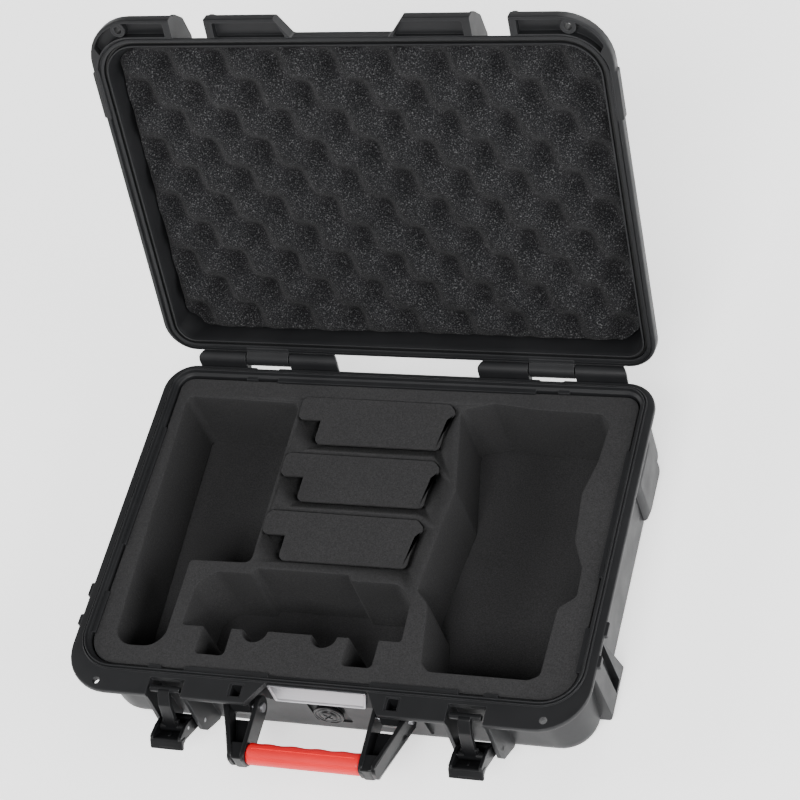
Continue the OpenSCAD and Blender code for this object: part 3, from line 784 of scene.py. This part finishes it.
def lid_gasket():
    profile = ((4.05, 3.7), (3.8, 3.45), (2.6, 3.45), (2.35, 3.7), (2.35, 6.7), (4.05, 6.7))
    obj = to_object("lid_seal", loft([(rim(d), RIM + z) for d, z in profile], closed=True), LID_OPEN)
    fit_piece(dress(obj, SEAL, 50), "lid", "seal_rubber", "lid_gasket")


def lid_foam():
    """Convoluted foam: rows of rounded peaks and hollows, cut back along the lid's slanting front."""
    peak, depth = RIM + 9.0, 15.0
    pitch_x, pitch_y = 40, 46
    half_x, front, back = CAV_X - 2.2, CAV_FRONT + 4.5, CAV_BACK - 2.2

    def height(x, y):
        wave = cos(2 * pi * x / pitch_x) * cos(2 * pi * (y + 3) / pitch_y)
        level = (0.5 - 0.5 * wave) ** 1.5
        uneven = noise.noise(Vector((x, y, 0)) * 0.045) * 1.2 + noise.noise(Vector((x, y, 5)) * 0.25) * 0.25
        edge = min(half_x - abs(x), y - front, back - y)
        surface = peak + depth * level + uneven + 1.8 * max(0, 1 - edge / 2.5) ** 2
        wall = RIM + 3.5 + (y - CAV_FRONT) * 26 / 14.6
        return min(surface, wall)

    step = 2
    obj = grid_sheet("lid_convoluted_foam", half_x, front, back, step, height, RIM + 27, LID_OPEN, draft=9)
    fit_piece(dress(obj, LID_FOAM, 70), "lid", "lid_foam", "lid_foam")


# ------------------------------------------------------------ front fittings

def nameplate():
    """Metal plate with a raised border, plain in the middle."""
    corners = [(-32, -14.4), (32, -14.4), (35.5, 0), (-35.5, 0)]

    def outline(inset):
        return rounded(grown(corners, -inset), 1.4 - inset * 0.45)

    border = ((0, 0), (0, 1.1), (0.3, 1.4), (1.3, 1.4), (1.7, 0.9), (2.2, 0.8))
    bm = loft([(outline(inset), z) for inset, z in border])
    bm.transform(Matrix.Translation((0, -118.9, RIM - 1.2)) @ Matrix.Rotation(radians(76.3), 4, "X"))
    obj = to_object("front_plate", bm)
    fit_piece(dress(obj, PLATE, 40), "base", "plate_metal", "nameplate")


def valve_cap():
    """Round cap with concentric rings and a cross in its middle."""
    profile = [
        (0, 0.0), (10.0, 0.0), (10.4, 0.4), (10.4, 1.5), (10.0, 1.9), (9.3, 1.9), (9.0, 1.4), (8.1, 1.4), (7.8, 1.9),
        (6.9, 1.9), (6.6, 1.5), (5.6, 1.5), (5.2, 2.3), (4.7, 2.6), (0, 2.6),
    ]
    bm = turned(profile, 64)
    turn = Matrix.Translation((0, -119.7, RIM - 33)) @ Matrix.Rotation(radians(90), 4, "X")
    bm.transform(turn)
    obj = to_object("valve_face", bm)
    slots = []
    for a in (45, 135):
        bar = prism(rounded([(-4, -0.7), (4, -0.7), (4, 0.7), (-4, 0.7)], 0.5), 1.8, 4)
        bar.transform(turn @ Matrix.Rotation(radians(a), 4, "Z"))
        slots.append(bar)
    boolean(obj, slots, "DIFFERENCE")
    fit_piece(dress(obj, LATCH, 35), "base", "latch_plastic", "valve_cap")


# ------------------------------------------------------------ latches

def lever(side):
    """Lever, closed: an outer plate with a finger lip, two side cheeks and the pivot tube."""
    sign = -1 if side == "left" else 1
    cx = sign * LATCH_X
    cheek = rounded([
        (LEVER_Y - 4.2, LEVER_Z - 3.6, 3), (LEVER_Y + 4.2, LEVER_Z - 4.2, 4), (LEVER_Y + 6.2, LEVER_Z + 15, 4),
        (LEVER_Y + 4.8, LEVER_Z + 21, 3.5), (LEVER_Y + 0.6, LEVER_Z + 30.2, 1.4), (LEVER_Y - 3.6, LEVER_Z + 29.6, 1),
    ], 2)
    plate = rounded([
        (LEVER_Y - 4.2, LEVER_Z - 2, 0.8), (LEVER_Y - 1.6, LEVER_Z - 2, 0.8), (LEVER_Y - 1.6, LEVER_Z + 26),
        (LEVER_Y - 4.2, LEVER_Z + 26),
    ], 0.6)
    lip = rounded([
        (LEVER_Y - 4.0, LEVER_Z + 23, 1), (LEVER_Y - 1.4, LEVER_Z + 23, 1), (LEVER_Y - 0.9, LEVER_Z + 30, 1.8),
        (LEVER_Y - 9.0, LEVER_Z + 30, 1.2), (LEVER_Y - 9.0, LEVER_Z + 27.2, 1.2), (LEVER_Y - 5.6, LEVER_Z + 26.6, 2),
    ], 1)
    solids = [
        prism(cheek, cx - 11.4, cx - 9.1, TO_X, 0.5), prism(cheek, cx + 9.1, cx + 11.4, TO_X, 0.5),
        prism(plate, cx - 11.4, cx + 11.4, TO_X, 0.4), prism(lip, cx - 11.9, cx + 11.9, TO_X, 0.9, 3),
        rod(cx - 12.5, cx - 9.2, LEVER_Y, LEVER_Z, 3.6), rod(cx + 9.2, cx + 12.5, LEVER_Y, LEVER_Z, 3.6),
        rod(cx - 9.4, cx + 9.4, LEVER_Y, LEVER_Z, 3.0),
        prism([(LEVER_Y - 2, LEVER_Z + 19.5), (LEVER_Y - 0.9, LEVER_Z + 20.5), (LEVER_Y - 0.9, LEVER_Z + 24.5),
               (LEVER_Y - 2, LEVER_Z + 25)], cx - 0.7, cx + 0.7, TO_X, 0.2),
    ]
    thumb = rounded([
        (LEVER_Y - 12, LEVER_Z + 29.4), (LEVER_Y - 6.8, LEVER_Z + 29.4), (LEVER_Y - 6.8, LEVER_Z + 34),
        (LEVER_Y - 12, LEVER_Z + 34),
    ], 0.4)
    obj = to_object("latch_lever_%s_body" % side, solids[0])
    boolean(obj, solids[1:], "UNION")
    boolean(obj, [prism(thumb, cx - 5, cx + 5, TO_X)], "DIFFERENCE")
    moved(obj, lever_open(side))
    fit_piece(dress(obj, LATCH), "lever_" + side, "latch_plastic", "latch_lever_" + side)


def link(side):
    """Draw link, closed: a barrel on the link pin, a stem with a bend and a round cross bar."""
    sign = -1 if side == "left" else 1
    cx = sign * LATCH_X
    pin = lever_open(side).inverted() @ pivot("link_%s_pivot" % side)
    stem = rounded([
        (pin.y + 2.7, pin.z - 1.5, 2.5), (pin.y + 2.2, pin.z + 3, 3), (-124.2, RIM - 2.4, 4), (-121.6, RIM + 3.9, 3),
        (-118.2, RIM + 4.0, 1.5), (-118.0, RIM + 7.6, 1.5), (-123.4, RIM + 8.0, 2.5), (-128.0, RIM - 1.5, 5),
        (pin.y - 2.3, pin.z + 3, 3), (pin.y - 2.7, pin.z - 1.5, 2.5), (pin.y, pin.z - 3.0, 2.5),
    ], 2)
    web = rounded([
        (pin.y - 1.4, pin.z), (pin.y + 1.6, pin.z), (pin.y + 1.6, pin.z + 7, 1), (pin.y - 1.2, pin.z + 7, 1),
    ], 0.5)
    solids = [
        prism(stem, cx - 4.3, cx + 4.3, TO_X, 0.6), rod(cx - 11, cx + 11, -119.6, RIM + 6, 2.3, 0.9, 40),
        rod(cx - 8.7, cx + 8.7, pin.y, pin.z, 2.8, 0.5), prism(web, cx - 5.8, cx + 5.8, TO_X),
    ]
    obj = to_object("latch_link_%s_body" % side, solids[0])
    boolean(obj, solids[1:], "UNION")
    moved(obj, link_open(side))
    fit_piece(dress(obj, LATCH), "link_" + side, "latch_plastic", "latch_link_" + side)


# ------------------------------------------------------------ handle

def handle_arm():
    """Right arm: a channel open at the top that straddles the lug and ends in a solid cap."""
    grip_y = PIVOT_Y - HANDLE_REACH
    side_view = rounded([
        (PIVOT_Y + 8, PIVOT_Z - 9, 8), (PIVOT_Y + 8, PIVOT_Z + 8, 8), (grip_y - 7, PIVOT_Z + 6.5, 5),
        (grip_y - 7, PIVOT_Z - 9, 6),
    ], 7, 8)
    inner = prism(side_view[::-1], 39.8, 42.9, TO_X, 0.6)
    outer = prism(side_view[::-1], 63.0, 66.0, TO_X, 0.6)
    for v in outer.verts:
        along = min(max((PIVOT_Y - 6 - v.co.y) / (HANDLE_REACH - 12), 0), 1)
        v.co.x -= 14.0 * along
    floor_plan = rounded([
        (42, grip_y - 5), (51, grip_y - 5), (51.5, grip_y + 6), (64, PIVOT_Y - 7.6), (42, PIVOT_Y - 7.6),
    ], 1)
    floor = prism(floor_plan, PIVOT_Z - 8.2, PIVOT_Z - 5.4, TO_Z, 0.5)
    cap_plan = rounded([
        (40.5, grip_y - 6.6, 2), (50.5, grip_y - 6.6, 4), (51.5, grip_y + 5.6), (40.5, grip_y + 5.6),
    ], 1)
    cap = prism(cap_plan, PIVOT_Z - 7.6, PIVOT_Z + 5.6, TO_Z, 1.0, 3)
    return [inner, outer, floor, cap]


def handle_frame():
    solids = both(*handle_arm())
    solids.append(rod(-41, 41, PIVOT_Y - HANDLE_REACH, PIVOT_Z - 1, 4))
    obj = to_object("handle_arms", solids[0])
    boolean(obj, solids[1:], "UNION")
    fit_piece(dress(obj, LATCH), "handle", "latch_plastic", "handle_frame")


def handle_grip():
    """Soft sleeve: a rounded bar with finger waves on its inner side and a long pressed panel."""
    half, radius, steps, wave_pitch = 39.7, 7.0, 96, 17.7
    cy, cz = PIVOT_Y - HANDLE_REACH, PIVOT_Z - 1
    rings = []
    for i in range(steps + 1):
        x = -half + 2 * half * i / steps
        end = min(half - abs(x), 1.6) / 1.6
        shrink = 1 - 0.12 * (1 - end) ** 2
        wave = 0.55 * (0.5 + 0.5 * cos(2 * pi * x / wave_pitch)) * min(max((half - abs(x)) / 8, 0), 1)
        ring = []
        for k in range(48):
            a = 2 * pi * k / 48
            r = radius * shrink
            y, z = r * cos(a), r * sin(a)
            y *= 1.2 if y > 0 else 0.94
            if y > 0:
                y -= wave * (y / r) ** 2
            ring.append((y, z))
        rings.append((ring, x))
    bm = loft(rings)
    bm.transform(Matrix.Translation((0, cy, cz)) @ TO_X)
    obj = to_object("red_grip", bm)
    line = prism(rounded([(-36, -0.4), (36, -0.4), (36, 0.4), (-36, 0.4)], 0.3, 3), radius - 0.5, radius + 3)
    line.transform(Matrix.Translation((0, cy, cz)) @ Matrix.Rotation(radians(-11), 4, "X"))
    boolean(obj, [line], "DIFFERENCE")
    fit_piece(dress(obj, GRIP, 40), "handle", "grip_rubber", "handle_grip")


# ------------------------------------------------------------ the whole case

def paint_cad_nodes():
    """The pins and the hidden valve parts keep their CAD shape and get a finished material."""
    for name, obj in frame["nodes"].items():
        if "pin" in name:
            paint = PIN
        elif name == "valve_seal":
            paint = SEAL
        elif name in ("valve_body", "valve_nut"):
            paint = LATCH
        else:
            continue
        obj.data.materials.clear()
        obj.data.materials.append(paint)


def floor_and_light():
    bm = bmesh.new()
    for x, y in ((-6, -6), (6, -6), (6, 6), (-6, 6)):
        bm.verts.new((x / MM, y / MM, 0))
    bm.faces.new(bm.verts)
    floor = to_object("floor", bm)
    mat, tree, bsdf = new_material("pale_floor")
    shade = ramp(tree, noise_of(tree, place_coords(tree), 1.5, 2), [(0.3, grey(0.90)), (0.7, grey(0.93))])
    tree.links.new(shade, bsdf.inputs["Base Color"])
    bsdf.inputs["Roughness"].default_value = 0.7
    bsdf.inputs["Emission Color"].default_value = (1, 1, 1, 1)
    bsdf.inputs["Emission Strength"].default_value = 1.1
    floor.data.materials.append(mat)
    world = bpy.data.worlds.new("studio")
    world.use_nodes = True
    world.node_tree.nodes["Background"].inputs["Color"].default_value = (1, 1, 1, 1)
    world.node_tree.nodes["Background"].inputs["Strength"].default_value = 0.20
    bpy.context.scene.world = world
    for name, place, size, power in (
        ("right", (3.0, -0.5, 1.15), 2.2, 130), ("front", (0.5, -2.6, 3.0), 1.6, 190),
        ("left", (-3.0, -0.2, 1.9), 2.2, 90), ("back", (0.9, 3.6, 1.5), 2.2, 80),
    ):
        data = bpy.data.lights.new(name, "AREA")
        data.shape = "SQUARE"
        data.size = size
        data.energy = power
        lamp = bpy.data.objects.new(name, data)
        lamp.location = place
        lamp.rotation_euler = (-Vector(place)).to_track_quat("-Z", "Y").to_euler()
        bpy.context.scene.collection.objects.link(lamp)


def camera():
    """Looks down on the case from its front right, with the roll of the product view."""
    position = Vector((0.6292, -0.8378, 1.4464))
    aim = Vector((-0.0047, 0.1480, RIM * MM))
    roll = -23.806
    data = bpy.data.cameras.new("camera")
    data.sensor_width = 36
    data.lens = 114.52
    data.shift_x = -0.0068
    data.shift_y = -0.0520
    cam = bpy.data.objects.new("camera", data)
    look = (aim - position).to_track_quat("-Z", "Y").to_matrix().to_4x4()
    cam.matrix_world = Matrix.Translation(position) @ look @ Matrix.Rotation(radians(roll), 4, "Z")
    bpy.context.scene.collection.objects.link(cam)
    bpy.context.scene.camera = cam


camera()
floor_and_light()
base_shell()
base_foam()
base_foam_pad()
lid_shell()
lid_gasket()
lid_foam()
nameplate()
valve_cap()
for side in ("left", "right"):
    lever(side)
    link(side)
handle_frame()
handle_grip()
paint_cad_nodes()
